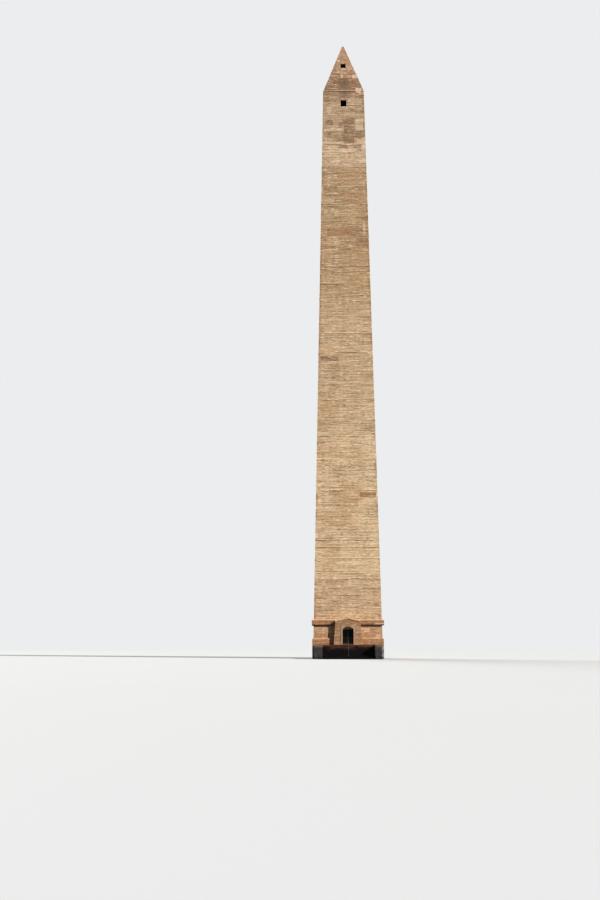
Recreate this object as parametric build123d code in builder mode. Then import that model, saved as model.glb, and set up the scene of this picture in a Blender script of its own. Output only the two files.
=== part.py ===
from build123d import *
import os

# Concrete memorial obelisk as a 1:10 scale model, so a model millimetre is a real centimetre.
# A hollow battered shaft with a pyramid top stands on a plinth with a gabled entrance bay.
# A flight of steps between two flat-topped cheek walls climbs to the pair of entrance doors.
# The origin is on the tower's axis at the foot of the stair, and the entrance faces -Y.

# Heights of the tower's stages, from the ground up
podium_height = 213.0
base_course_height = 102.0
base_weathering = 11.0
plinth_wall_height = 199.0
cornice_height = 89.0
cornice_weathering = 11.0
shaft_height = 9017.0
upper_stage_height = 1390.0
pyramid_height = 1080.0

# Tower section: both faces of the walls lean inwards
width_at_sill = 1077.6
width_at_top = 703.0
wall_at_sill = 213.0
wall_at_top = 61.0
cap_opening_width = 46.0
tip_width = 6.0

# Windows, one in each face of the shaft's top and of the pyramid, and the floors below them
shaft_window_width = 100.0
shaft_window_height = 117.0
shaft_window_drop = 172.0
pyramid_window_width = 88.6
pyramid_window_height = 93.0
pyramid_window_rise = 535.0
window_sill_height = 90.0
floor_thickness = 20.0
entrance_floor_thickness = 6.0

# Base course, cornice and entrance bay stand out from the tower's face
base_projection = 17.2
cornice_projection = 30.0
bay_projection = 46.0
bay_foot_width = 448.6
bay_eave_width = 388.4
bay_eave_height = 370.0
gable_rise = 49.0
coping_thickness = 23.0
coping_overhang = 6.0
coping_projection = 8.0

# Doorway, its surround and its pair of leaves
door_width = 168.0
door_height = 235.5
arch_rise = 41.5
surround_leg_width = 25.0
surround_crown_height = 10.0
surround_projection = 5.0
wall_reveal = 9.0
door_recess = 42.0
leaf_thickness = 6.0
leaf_side_gap = 0.6
leaf_end_gap = 2.0
meeting_gap = 1.6
stile_width = 9.0
top_rail_height = 10.0
lock_rail_rise = 99.0
lock_rail_height = 14.0
bottom_rail_height = 24.0
panel_recess = 1.5
glass_thickness = 2.0
pivot_radius = 1.5

# Stair, cheek walls and handrail
stair_width = 791.0
riser_count = 13
tread_depth = 36.0
landing_depth = 160.0
nosing_radius = 2.0
cheek_set_back = 31.5
rail_radius = 3.6
post_radius = 3.0
rail_height = 96.0
foot_post_step = 3
rail_end_reach = 14.0
rail_bend_radius = 16.0

# Clearances
joint = 0.4
seat_gap = 0.3

os.makedirs("parts", exist_ok=True)

# Levels above the ground
sill_level = podium_height
base_top_level = sill_level + base_course_height
base_arris_level = base_top_level - base_weathering
cornice_soffit_level = base_top_level + plinth_wall_height
shaft_foot_level = cornice_soffit_level + cornice_height
cornice_arris_level = shaft_foot_level - cornice_weathering
shaft_top_level = shaft_foot_level + shaft_height
cold_joint_level = shaft_top_level - upper_stage_height
tower_height = shaft_top_level + pyramid_height
floor_level = sill_level + entrance_floor_thickness
transom_level = sill_level + door_height
surround_top_level = transom_level + arch_rise + surround_crown_height
bay_eave_level = sill_level + bay_eave_height
gable_apex_level = bay_eave_level + gable_rise
riser_height = sill_level / riser_count

# Leans of the faces, as run over rise
outer_batter = (width_at_sill - width_at_top) / 2 / (shaft_top_level - sill_level)
wall_taper = (wall_at_sill - wall_at_top) / (shaft_top_level - sill_level)
pyramid_batter = (width_at_top - tip_width) / 2 / pyramid_height
bay_batter = (bay_foot_width - bay_eave_width) / 2 / bay_eave_height


def outer_half(level):
    return width_at_sill / 2 - outer_batter * (level - sill_level)


def inner_half(level):
    return outer_half(level) - wall_at_sill + wall_taper * (level - sill_level)


def pyramid_outer_half(level):
    return outer_half(shaft_top_level) - pyramid_batter * (level - shaft_top_level)


def pyramid_inner_half(level):
    return inner_half(shaft_top_level) - pyramid_batter * (level - shaft_top_level)


def bay_half(level):
    return bay_foot_width / 2 - bay_batter * (level - sill_level)


# Distances from the tower's axis
base_half = width_at_sill / 2 + base_projection
cornice_half = outer_half(cornice_soffit_level) + cornice_projection
bay_front = base_half + bay_projection
surround_front = bay_front + surround_projection
door_half = door_width / 2
surround_half = door_half + surround_leg_width
stair_front = base_half + landing_depth + (riser_count - 1) * tread_depth
cheek_outer = base_half - cheek_set_back
cheek_width = cheek_outer - stair_width / 2


def save(part, label):
    part.label = label
    export_step(part, f"parts/{label}.step")


# Side 0 is the entrance front, and the others follow anticlockwise seen from above
side_names = ["front", "right", "back", "left"]


def facing(side):
    """Upright plane through the axis that looks out of one side."""
    outward = Vector(0, -1, 0).rotate(Axis.Z, 90 * side)
    across = Vector(1, 0, 0).rotate(Axis.Z, 90 * side)
    return Plane(origin=(0, 0, 0), x_dir=across, z_dir=outward)


def upright_section(side):
    """Upright plane through the axis, with x outwards through one side and y upwards."""
    face_plane = facing(side)
    return Plane(origin=(0, 0, 0), x_dir=face_plane.z_dir, z_dir=-face_plane.x_dir)


def mitred_run(side, section, mitre_gap=0.0):
    """Straight run of a (distance, level) section along one side, mitred on the diagonals."""
    outward = facing(side).z_dir
    across = facing(side).x_dir
    reach = max(distance for distance, level in section)
    with BuildPart() as run:
        with BuildSketch(upright_section(side)):
            with BuildLine():
                Polyline(*section, close=True)
            make_face()
        extrude(amount=reach, both=True)
        for hand in (-1, 1):
            mitre = Plane(origin=outward * mitre_gap, z_dir=across * hand - outward)
            split(bisect_by=mitre, keep=Keep.BOTTOM)
    return run.part


def wall_section(bottom, top):
    return [
        (outer_half(bottom), bottom),
        (outer_half(top), top),
        (inner_half(top), top),
        (inner_half(bottom), bottom),
    ]


def windowed(wall, side, width, height, sill):
    """The wall with a square-cut window through it."""
    with BuildPart() as cut_wall:
        add(wall)
        with BuildSketch(facing(side)):
            with Locations((0, sill + height / 2)):
                Rectangle(width, height)
        extrude(amount=width_at_sill / 2, mode=Mode.SUBTRACT)
    return cut_wall.part


# Foundation: mass concrete down to the ground, as wide as the base course
with BuildPart() as foundation:
    with BuildSketch():
        Rectangle(2 * base_half, 2 * base_half)
    extrude(amount=sill_level)
save(foundation.part, "foundation")

# Landing in front of the entrance
with BuildPart() as landing:
    with BuildSketch():
        with Locations((0, -base_half - landing_depth / 2)):
            Rectangle(stair_width, landing_depth)
    extrude(amount=sill_level)
save(landing.part, "landing")

# Steps: each a block cast down to the ground, with a rounded nosing
with BuildPart() as stair_steps:
    for step in range(1, riser_count):
        step_back = stair_front - (step - 1) * tread_depth
        with BuildSketch():
            with Locations((0, -step_back + tread_depth / 2)):
                Rectangle(stair_width - 2 * joint, tread_depth - joint)
        extrude(amount=step * riser_height)
    nosings = [
        block.faces().sort_by(Axis.Z)[-1].edges().sort_by(Axis.Y)[0]
        for block in stair_steps.solids()
    ]
    fillet(nosings, nosing_radius)
save(stair_steps.part, "stair_steps")

# Cheek walls between the stair and the line of the base course, level with the landing
cheek_length = stair_front - base_half
for hand, name in ((-1, "left_cheek_wall"), (1, "right_cheek_wall")):
    with BuildPart() as cheek_wall:
        with BuildSketch():
            with Locations(
                (hand * (cheek_outer - cheek_width / 2), -base_half - cheek_length / 2)
            ):
                Rectangle(cheek_width, cheek_length)
        extrude(amount=sill_level)
    save(cheek_wall.part, name)

# Handrail up the middle of the stair, on posts of one height
post_steps = (foot_post_step, (foot_post_step + riser_count) // 2, riser_count)


def post_foot(step):
    """Centre of a tread, counted from the bottom; the last one is the landing's edge."""
    return Vector(0, -(stair_front - (step - 0.5) * tread_depth), step * riser_height)


foot_rail = post_foot(foot_post_step) + (0, 0, rail_height)
head_rail = post_foot(riser_count) + (0, 0, rail_height)
with BuildPart() as handrail:
    with BuildLine() as rail_path:
        FilletPolyline(
            foot_rail - (0, rail_end_reach, 0),
            foot_rail,
            head_rail,
            head_rail + (0, rail_end_reach, 0),
            radius=rail_bend_radius,
        )
    with BuildSketch(Plane(origin=rail_path.line @ 0, z_dir=rail_path.line % 0)):
        Circle(rail_radius)
    sweep(path=rail_path.line)
    for step in post_steps:
        with BuildSketch(Plane(origin=post_foot(step))):
            Circle(post_radius)
        extrude(amount=rail_height)
save(handrail.part, "handrail")

# Entrance floor: a screed over the hall and through the doorway of the front wall
doorway_half = door_half + wall_reveal
with BuildPart() as entrance_floor:
    hall_half = inner_half(floor_level) - seat_gap
    passage_front = outer_half(sill_level) - seat_gap
    with BuildSketch(Plane.XY.offset(sill_level)):
        Rectangle(2 * hall_half, 2 * hall_half)
        with Locations((0, -(passage_front + hall_half) / 2)):
            Rectangle(2 * (doorway_half - seat_gap), passage_front - hall_half)
    extrude(amount=entrance_floor_thickness)
save(entrance_floor.part, "entrance_floor")

# Plinth: the foot of the tower's own walls, split beside and over the doorway
plinth_section = wall_section(sill_level, shaft_foot_level)
for side in (1, 2, 3):
    save(mitred_run(side, plinth_section), f"plinth_{side_names[side]}")
doorway_head = transom_level + arch_rise + wall_reveal
plinth_pieces = {
    "plinth_front_left": (-base_half, -doorway_half, sill_level, shaft_foot_level),
    "plinth_front_right": (doorway_half, base_half, sill_level, shaft_foot_level),
    "plinth_lintel": (-doorway_half, doorway_half, doorway_head, shaft_foot_level),
}
for name, (low_x, high_x, low_z, high_z) in plinth_pieces.items():
    with BuildPart() as plinth_piece:
        add(mitred_run(0, plinth_section))
        with BuildSketch(facing(0)):
            with Locations(((low_x + high_x) / 2, (low_z + high_z) / 2)):
                Rectangle(high_x - low_x, high_z - low_z)
        extrude(amount=base_half, mode=Mode.INTERSECT)
    save(plinth_piece.part, name)

# Outline of the entrance bay on its front plane, up to the underside of its coping
gable_slope = (gable_apex_level - bay_eave_level) / (bay_half(bay_eave_level) + coping_overhang)
soffit_apex_level = gable_apex_level - coping_thickness
shoulder_level = (
    soffit_apex_level - gable_slope * (bay_foot_width / 2 + bay_batter * sill_level)
) / (1 - gable_slope * bay_batter)
coping_end = bay_half(bay_eave_level) + coping_overhang
coping_outline = [
    (coping_end, bay_eave_level),
    (0, gable_apex_level),
    (-coping_end, bay_eave_level),
    (-coping_end, bay_eave_level - coping_thickness),
    (0, soffit_apex_level),
    (coping_end, bay_eave_level - coping_thickness),
]
bay_outline = [
    (-bay_foot_width / 2, sill_level),
    (bay_foot_width / 2, sill_level),
    (bay_half(shoulder_level), shoulder_level),
    (0, soffit_apex_level),
    (-bay_half(shoulder_level), shoulder_level),
]


def bay_piece(outline, front, openings=()):
    """Piece of the entrance bay from its front plane back to the tower's battered face."""
    with BuildPart() as piece:
        with BuildSketch(facing(0)):
            with BuildLine():
                Polyline(*outline, close=True)
            make_face()
            for opening in openings:
                add(opening, mode=Mode.SUBTRACT)
        extrude(amount=front)
        with BuildSketch(upright_section(0)):
            with BuildLine():
                Polyline(
                    (0, 0),
                    (outer_half(0), 0),
                    (outer_half(shaft_top_level), shaft_top_level),
                    (0, shaft_top_level),
                    close=True,
                )
            make_face()
        extrude(amount=base_half, both=True, mode=Mode.SUBTRACT)
    return piece.part


# Jamb blocks, gable block and raking coping of the bay
for hand, name in ((-1, "bay_left_jamb"), (1, "bay_right_jamb")):
    jamb_outline = [
        (hand * surround_half, sill_level),
        (hand * bay_foot_width / 2, sill_level),
        (hand * bay_half(surround_top_level), surround_top_level),
        (hand * surround_half, surround_top_level),
    ]
    save(bay_piece(jamb_outline, bay_front), name)
gable_outline = [
    (-bay_half(surround_top_level), surround_top_level),
    (bay_half(surround_top_level), surround_top_level),
    (bay_half(shoulder_level), shoulder_level),
    (0, soffit_apex_level),
    (-bay_half(shoulder_level), shoulder_level),
]
save(bay_piece(gable_outline, bay_front), "bay_gable")
save(bay_piece(coping_outline, bay_front + coping_projection), "gable_coping")

# Base course and cornice: mitred bands against the plinth, stopped by the entrance bay
bands = {
    "base_course": [
        (outer_half(sill_level), sill_level),
        (base_half, sill_level),
        (base_half, base_arris_level),
        (outer_half(base_top_level), base_top_level),
    ],
    "cornice": [
        (outer_half(cornice_soffit_level), cornice_soffit_level),
        (cornice_half, cornice_soffit_level),
        (cornice_half, cornice_arris_level),
        (outer_half(shaft_foot_level), shaft_foot_level),
    ],
}
for name, section in bands.items():
    with BuildPart() as band:
        for side in range(len(side_names)):
            add(mitred_run(side, section, mitre_gap=joint / 2))
        for outline in (bay_outline, coping_outline):
            with BuildSketch(facing(0)):
                with BuildLine():
                    Polyline(*outline, close=True)
                make_face()
            extrude(amount=bay_front, mode=Mode.SUBTRACT)
    save(band.part, name)


def arched_head(half_width, rise):
    """Segmental arch on the transom's level, half as wide as given."""
    with BuildSketch() as head:
        with BuildLine():
            ThreePointArc(
                (-half_width, transom_level), (0, transom_level + rise), (half_width, transom_level)
            )
            Line((half_width, transom_level), (-half_width, transom_level))
        make_face()
    return head.sketch


# Door surround: two legs and a head with a segmental arch
with BuildPart() as door_surround:
    for hand in (-1, 1):
        leg_outline = [
            (hand * door_half, sill_level),
            (hand * surround_half, sill_level),
            (hand * surround_half, transom_level - joint),
            (hand * door_half, transom_level - joint),
        ]
        add(bay_piece(leg_outline, surround_front))
    head_outline = [
        (-surround_half, transom_level),
        (surround_half, transom_level),
        (surround_half, surround_top_level),
        (-surround_half, surround_top_level),
    ]
    add(bay_piece(head_outline, surround_front, [arched_head(door_half, arch_rise)]))
save(door_surround.part, "door_surround")

# Transom: a panel that fills the arch over the leaves, on the leaves' plane
leaf_front = bay_front - door_recess
with BuildPart() as transom:
    with BuildSketch(facing(0).offset(leaf_front - leaf_thickness)):
        add(arched_head(door_half - seat_gap, arch_rise - seat_gap))
    extrude(amount=leaf_thickness)
save(transom.part, "transom")

# Threshold between the legs of the surround
with BuildPart() as threshold:
    threshold_back = outer_half(sill_level) + seat_gap
    with BuildSketch(Plane.XY.offset(sill_level)):
        with Locations((0, -(surround_front + threshold_back) / 2)):
            Rectangle(door_width - 2 * seat_gap, surround_front - threshold_back)
    extrude(amount=entrance_floor_thickness)
save(threshold.part, "threshold")

# Door leaves: each turns on a pivot at its rounded heel, with glass over a solid panel
leaf_axis_y = -(leaf_front - leaf_thickness / 2)
leaf_axis_x = door_half - leaf_side_gap - leaf_thickness / 2
leaf_bottom = floor_level + leaf_end_gap
leaf_top = transom_level - leaf_end_gap
lock_rail_level = floor_level + lock_rail_rise
light_bottom = lock_rail_level + lock_rail_height
light_top = leaf_top - top_rail_height
light_width = leaf_axis_x + leaf_thickness / 2 - meeting_gap / 2 - 2 * stile_width
light_centre_x = meeting_gap / 2 + stile_width + light_width / 2
panel_bottom = leaf_bottom + bottom_rail_height
for hand, name in ((-1, "left_door"), (1, "right_door")):
    with BuildPart() as leaf:
        with BuildSketch(Plane.XY.offset(leaf_bottom)):
            with Locations((hand * (leaf_axis_x + meeting_gap / 2) / 2, leaf_axis_y)):
                Rectangle(leaf_axis_x - meeting_gap / 2, leaf_thickness)
            with Locations((hand * leaf_axis_x, leaf_axis_y)):
                Circle(leaf_thickness / 2)
        extrude(amount=leaf_top - leaf_bottom)
        with BuildSketch(Plane.XY.offset(floor_level + seat_gap)):
            with Locations((hand * leaf_axis_x, leaf_axis_y)):
                Circle(pivot_radius)
        extrude(amount=transom_level - floor_level - 2 * seat_gap)
        with BuildSketch(facing(0)):
            with Locations((hand * light_centre_x, (light_bottom + light_top) / 2)):
                Rectangle(light_width, light_top - light_bottom)
        extrude(amount=leaf_front, mode=Mode.SUBTRACT)
        for face_plane, depth in (
            (facing(0).offset(leaf_front), -panel_recess),
            (facing(0).offset(leaf_front - leaf_thickness), panel_recess),
        ):
            with BuildSketch(face_plane):
                with Locations((hand * light_centre_x, (panel_bottom + lock_rail_level) / 2)):
                    Rectangle(light_width, lock_rail_level - panel_bottom)
            extrude(amount=depth, mode=Mode.SUBTRACT)
    save(leaf.part, name)
    with BuildPart() as leaf_glass:
        with BuildSketch(facing(0).offset(leaf_front - (leaf_thickness + glass_thickness) / 2)):
            with Locations((hand * light_centre_x, (light_bottom + light_top) / 2)):
                Rectangle(light_width - 2 * seat_gap, light_top - light_bottom - 2 * seat_gap)
        extrude(amount=glass_thickness)
    save(leaf_glass.part, f"{name}_glass")

# Sills of the windows and the level at which the pyramid's slabs give way to the capstone
shaft_window_sill = shaft_top_level - shaft_window_drop - shaft_window_height
pyramid_window_sill = shaft_top_level + pyramid_window_rise
cap_foot_level = (
    shaft_top_level + (inner_half(shaft_top_level) - cap_opening_width / 2) / pyramid_batter
)

# Shaft: four walls below the cold joint, and four with a window above it
for side, side_name in enumerate(side_names):
    lower_wall = mitred_run(side, wall_section(shaft_foot_level, cold_joint_level))
    save(lower_wall, f"shaft_{side_name}_lower")
    upper_wall = mitred_run(side, wall_section(cold_joint_level, shaft_top_level))
    save(
        windowed(upper_wall, side, shaft_window_width, shaft_window_height, shaft_window_sill),
        f"shaft_{side_name}_upper",
    )

# Pyramid: four leaning slabs with a window each, closed by a solid capstone
pyramid_section = [
    (pyramid_outer_half(shaft_top_level), shaft_top_level),
    (pyramid_outer_half(cap_foot_level), cap_foot_level),
    (pyramid_inner_half(cap_foot_level), cap_foot_level),
    (pyramid_inner_half(shaft_top_level), shaft_top_level),
]
for side, side_name in enumerate(side_names):
    slab = mitred_run(side, pyramid_section)
    save(
        windowed(
            slab, side, pyramid_window_width, pyramid_window_height, pyramid_window_sill
        ),
        f"pyramid_{side_name}",
    )
cap_half = pyramid_outer_half(cap_foot_level)
with BuildPart() as capstone:
    for side, mode in ((0, Mode.ADD), (1, Mode.INTERSECT)):
        with BuildSketch(facing(side)):
            with BuildLine():
                Polyline(
                    (-cap_half, cap_foot_level),
                    (cap_half, cap_foot_level),
                    (tip_width / 2, tower_height),
                    (-tip_width / 2, tower_height),
                    close=True,
                )
            make_face()
        extrude(amount=cap_half, both=True, mode=mode)
save(capstone.part, "capstone")

# Floors of the viewing room and of the room in the pyramid
viewing_floor_level = shaft_window_sill - window_sill_height
upper_floor_level = pyramid_window_sill - window_sill_height
for name, level, half in (
    ("viewing_floor", viewing_floor_level, inner_half(viewing_floor_level)),
    ("upper_floor", upper_floor_level, pyramid_inner_half(upper_floor_level)),
):
    with BuildPart() as floor:
        with BuildSketch(Plane.XY.offset(level)):
            Rectangle(2 * (half - seat_gap), 2 * (half - seat_gap))
        extrude(amount=-floor_thickness)
    save(floor.part, name)
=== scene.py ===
import math
import random

import bmesh
import bpy
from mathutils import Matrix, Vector, noise


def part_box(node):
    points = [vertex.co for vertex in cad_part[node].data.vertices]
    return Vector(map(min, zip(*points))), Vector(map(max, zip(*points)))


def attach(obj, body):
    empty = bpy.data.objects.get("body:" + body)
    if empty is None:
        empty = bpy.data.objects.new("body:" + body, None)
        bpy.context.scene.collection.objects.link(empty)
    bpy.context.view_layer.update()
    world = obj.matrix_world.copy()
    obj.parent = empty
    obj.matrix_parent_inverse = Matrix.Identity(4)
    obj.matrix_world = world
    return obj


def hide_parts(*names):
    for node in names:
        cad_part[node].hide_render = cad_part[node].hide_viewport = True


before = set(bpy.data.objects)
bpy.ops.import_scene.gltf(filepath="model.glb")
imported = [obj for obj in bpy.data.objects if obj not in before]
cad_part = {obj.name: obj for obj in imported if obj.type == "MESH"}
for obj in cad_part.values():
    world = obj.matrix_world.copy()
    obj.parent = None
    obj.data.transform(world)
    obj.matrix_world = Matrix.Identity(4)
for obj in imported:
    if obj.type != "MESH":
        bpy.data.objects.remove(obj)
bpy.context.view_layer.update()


# Foundation. A mass of concrete cast down to the ground inside rough boards, as wide as the
# base course it carries. Its boards, joints and stains are the same as on every cast wall of
# the tower, so the way a concrete finish is mixed and a cast shape is weathered is written here.
def worked(work):
    """A way to work out a new amount from an amount and what goes with it."""
    return lambda amount, *others: amount.finish.sum(work, amount, *others)


class Amount:
    """A number that changes over a surface, so that a finish is written as plain sums."""

    def __init__(self, finish, socket):
        self.finish, self.socket = finish, socket

    __add__ = __radd__ = worked("ADD")
    __mul__ = __rmul__ = worked("MULTIPLY")
    __sub__, __truediv__, __gt__ = worked("SUBTRACT"), worked("DIVIDE"), worked("GREATER_THAN")
    __abs__, whole, nearest = worked("ABSOLUTE"), worked("FLOOR"), worked("ROUND")
    wave, most = worked("SINE"), worked("MAXIMUM")

    def __rsub__(self, other):
        return self.finish.sum("SUBTRACT", other, self)

    def fade(self, start, end):
        """Nothing at start and one at end, smoothly."""
        sockets = {"Value": self, "From Min": start, "From Max": end}
        return self.finish.node("MapRange", sockets, interpolation_type="SMOOTHSTEP")


class Finish:
    """One material of the tower, mixed from nodes."""

    def __init__(self, name, roughness=0.9, specular=0.3, metallic=0.0):
        self.material = bpy.data.materials.new(name)
        self.material.use_nodes = True
        self.tree = self.material.node_tree
        self.shader = self.tree.nodes["Principled BSDF"]
        gloss = {"Roughness": roughness, "Specular IOR Level": specular, "Metallic": metallic}
        for socket, value in gloss.items():
            self.shader.inputs[socket].default_value = value

    def put(self, socket, value):
        if isinstance(value, Amount):
            value = value.socket
        if isinstance(value, bpy.types.NodeSocket):
            self.tree.links.new(value, socket)
        else:
            socket.default_value = value

    def node(self, kind, sockets, output=0, **settings):
        made = self.tree.nodes.new("ShaderNode" + kind)
        for setting, value in settings.items():
            setattr(made, setting, value)
        for socket, value in sockets.items():
            self.put(made.inputs[socket], value)
        return Amount(self, made.outputs[output])

    def sum(self, work, *amounts):
        return self.node("Math", dict(enumerate(amounts)), operation=work)

    def split(self, vector):
        parts = self.node("SeparateXYZ", {0: vector}).socket.node
        return [Amount(self, axis) for axis in parts.outputs]

    def place(self):
        """Where a point of the surface is, and which way it faces, in the tower's own frame."""
        made = self.tree.nodes.new("ShaderNodeTexCoord")
        return self.split(made.outputs["Object"]), self.split(made.outputs["Normal"])

    def spot(self, across, up):
        """A place on one side of the tower, as the patterns need it."""
        return self.node("CombineXYZ", {0: across, 1: up})

    def clouds(self, across, up, detail=3.0, roughness=0.6):
        """Soft uneven patches, around one half, for one patch per unit across and up."""
        sockets = {"Vector": self.spot(across, up), "Scale": 1.0}
        sockets.update({"Detail": detail, "Roughness": roughness})
        return self.node("TexNoise", sockets, noise_dimensions="2D")

    def chance(self, across, up):
        """One random number for each whole pair."""
        sockets = {"Vector": self.spot(across, up)}
        return self.node("TexWhiteNoise", sockets, noise_dimensions="2D")

    def blend(self, amount, under, over):
        sockets = {0: amount, 6: under, 7: over}
        return self.node("Mix", sockets, output=2, data_type="RGBA")

    def lit(self, colour, amount):
        """The colour, brighter or darker by an amount around one."""
        return self.node("VectorMath", {0: colour, "Scale": amount}, operation="SCALE")

    def done(self, colour, height=None, depth=0.001, roughness=None):
        self.put(self.shader.inputs["Base Color"], colour)
        if roughness is not None:
            self.put(self.shader.inputs["Roughness"], roughness)
        if height is not None:
            bump = self.node("Bump", {"Height": height, "Distance": depth, "Strength": 0.8})
            self.put(self.shader.inputs["Normal"], bump)
        return self.material


def tint(red, green, blue):
    """A colour as it is seen, from 0 to 255, as the light it gives back."""
    seen = [part / 255 for part in (red, green, blue)]
    return [p / 12.92 if p < 0.04 else ((p + 0.055) / 1.055) ** 2.4 for p in seen] + [1.0]


# How the battered walls stand, and how deep the lifts and boards are that they were cast in
SILL, SHAFT_TOP, HALF_AT_SILL, HALF_AT_TOP = 0.213, 9.620, 0.5388, 0.3515
BATTER = (HALF_AT_SILL - HALF_AT_TOP) / (SHAFT_TOP - SILL)
HALF_AT_GROUND = HALF_AT_SILL + BATTER * SILL
FIRST_LIFT, LIFT = 0.128, 0.176
BOARD, BOARD_LENGTH, BOARD_EDGE = 0.0183, 0.27, 0.0007


def side_shift(nx, ny):
    """So far from each other the marks of the four sides lie, so that no two look alike."""
    return nx * 3.7 + ny * 8.3


def joint_level(number, wave):
    """The height of a pour joint; no two lifts are quite as deep."""
    return (number + wave(number * 2.4) * 0.28) * LIFT + FIRST_LIFT


def joint_wander(across, z, wave):
    """How far a pour joint strays up or down."""
    return wave(across * 9.0 + z * 2.2) * 0.003 + wave(across * 31.0 - z * 5.0) * 0.0015


def cast_concrete(
    name, tones, uneven=1.0, lifts=1.0, boards=1.0, mottled=0.0, patchwork=0.0, ragged=0.0,
    rusty=tint(164, 118, 79), limy=tint(228, 206, 174),
    corners=False, shaded_inside=None, run_off=None, shaded_seam=None, washed=None,
):
    """Board-marked concrete. Tones are (from height, to height, red, green, blue), from the foot
    up. Strengths are told against the main shaft's, where uneven, lifts and boards are 1."""
    mix = Finish(name, specular=0.08)
    (x, y, z), (nx, ny, nz) = mix.place()
    flat = nz > 0.9
    upright = 1.0 - flat
    sideways = abs(nx) > abs(ny) + flat
    along = x + sideways * (y - x)
    up = z + flat * (y - z)
    side = side_shift(nx.nearest(), ny.nearest())
    across = along + side

    # Ragged dashes along the boards, blotches, and faint streaks that rain has drawn
    layer = z + (mix.clouds(across * 4.0, z * 5.0, 2.0) - 0.5) * 0.008
    row = (layer / BOARD).whole()
    dashes = mix.clouds(across * 17.0, up * 58.0, 1.0, 0.5) - 0.5
    long_dashes = mix.clouds(across * 3.6 + 7.0, up * 48.0, 1.0, 0.5) - 0.5
    courses = mix.clouds(across * 2.6 + 2.0, row * 0.73, 2.0, 0.5) - 0.5
    blotches = mix.clouds(across * 2.4, up * 2.9, 4.0, 0.55) - 0.5
    spots = mix.clouds(across * 21.0 + 3.0, up * 26.0, 4.0, 0.65) - 0.5
    mealy = mix.clouds(across * 74.0, up * 80.0, 5.0, 0.7) - 0.5
    streaks = mix.clouds(across * 17.0, up * 0.8, 2.0, 0.5) - 0.5
    grain = mix.clouds(across * 430.0, up * 430.0, 4.0, 0.8) - 0.5

    colour = tint(*tones[0][2:])
    height = z + (blotches + spots * 0.5) * ragged
    for start, end, *tone in tones[1:]:
        colour = mix.blend(height.fade(start, end), colour, tint(*tone))

    # Joints between the pours, which wander a little and break off
    level = z + joint_wander(across, z, Amount.wave)
    pour = ((level - FIRST_LIFT) / LIFT).whole()
    below, above = joint_level(pour, Amount.wave), joint_level(pour + 1.0, Amount.wave)
    nearer = abs(level - below) > abs(above - level)
    joint = pour + nearer
    off_joint = level - below - nearer * (above - below)
    weight = mix.clouds(across * 5.5, joint * 3.3, 2.0).fade(0.34, 0.60) * upright
    weight = weight * mix.chance(joint, side)
    # Painted highlight just above each joint, as light on its grout ridge; below it a dark line
    # that is partly the joint and partly painted shadow under the ridge
    ridge_and_painted_highlight = (1.0 - abs(off_joint - 0.007).fade(0.004, 0.012)) * weight
    joint_and_painted_shadow = (1.0 - abs(off_joint + 0.007).fade(0.003, 0.013)) * weight

    # Rows of boards, each board a little lighter or darker than the next
    length = (across / BOARD_LENGTH + mix.chance(row, 3.0) * 9.0).whole()
    board = (mix.chance(row, length) - 0.5) * upright
    row_tone = (mix.chance(row, side + 0.5) - 0.5) * upright
    worn = mix.clouds(across * 6.0, z * 14.0, 2.0)
    edge = abs(layer / BOARD - row - 0.5).fade(0.40, 0.5) * worn.fade(0.42, 0.58) * upright
    pour_tone = (mix.chance(pour, side + 0.5) - 0.5) * upright

    # Round holes that air left against the boards, and gravel where the skin of cement has gone
    at, flatly = mix.spot(across, up), {"voronoi_dimensions": "2D"}
    nearest = mix.node("TexVoronoi", {"Vector": at, "Scale": 72.0}, **flatly)
    airy = mix.clouds(across * 11.0, up * 15.0, 2.0).fade(0.50, 0.60)
    holes = (1.0 - nearest.fade(0.035, 0.075)) * airy
    pebble = mix.node("TexVoronoi", {"Vector": at, "Scale": 330.0}, output=1, **flatly)
    bare = mix.clouds(across * 8.0 + 4.0, up * 21.0, 4.0, 0.7).fade(0.46, 0.60)
    gravel = (mix.split(pebble)[0] - 0.5) * (0.35 + bare * 0.65)
    bright = (
        1.0
        + board * (0.19 * boards)
        + row_tone * (0.13 * boards)
        + dashes * (0.72 * uneven)
        + courses * upright * (0.50 * boards)
        + gravel * 0.34
        + mealy * 0.46
        + long_dashes * (0.50 * uneven)
        + blotches * (0.34 * uneven)
        + spots * (0.9 * mottled)
        + streaks * (0.20 * uneven)
        + grain * 0.34
        + pour_tone * (0.08 * lifts)
        + ridge_and_painted_highlight * (0.36 * lifts)
        - joint_and_painted_shadow * (0.40 * lifts)
        - edge * (0.15 * boards)
        - holes * 0.35
    )

    # Brown where water has stood, and pale where lime has come out
    wet = mix.clouds(across * 1.1, z * 0.6, 2.0)
    damp = (blotches + streaks * 0.4 + wet - 0.5).fade(0.02, 0.34)
    colour = mix.blend(damp * 0.42, colour, rusty)
    lime = long_dashes + dashes * 0.8 + spots * (0.3 + mottled) + mealy * 0.5 - blotches * 0.4
    colour = mix.blend(lime.fade(0.02, 0.42) * 0.42, colour, limy)

    if patchwork:
        # The top was cast behind small panels, and each took its own tone
        panels = {"Vector": mix.spot(across, z), "Color1": (0, 0, 0, 1), "Color2": (1, 1, 1, 1)}
        panels.update({"Mortar": (0.2, 0.2, 0.2, 1), "Mortar Size": 0.003, "Mortar Smooth": 0.3})
        laid = []
        for wide, high, offset, squash, rows in (
            (0.163, 0.094, 0.37, 1.6, 3), (0.091, 0.141, 0.61, 0.7, 2)
        ):
            panels.update({"Scale": 1.0, "Brick Width": wide, "Row Height": high})
            settings = {"offset": offset, "squash": squash, "squash_frequency": rows}
            laid.append(mix.node("TexBrick", panels, **settings))
        bright = bright + (laid[0] + laid[1] - 1.0) * patchwork

    if corners:
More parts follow.
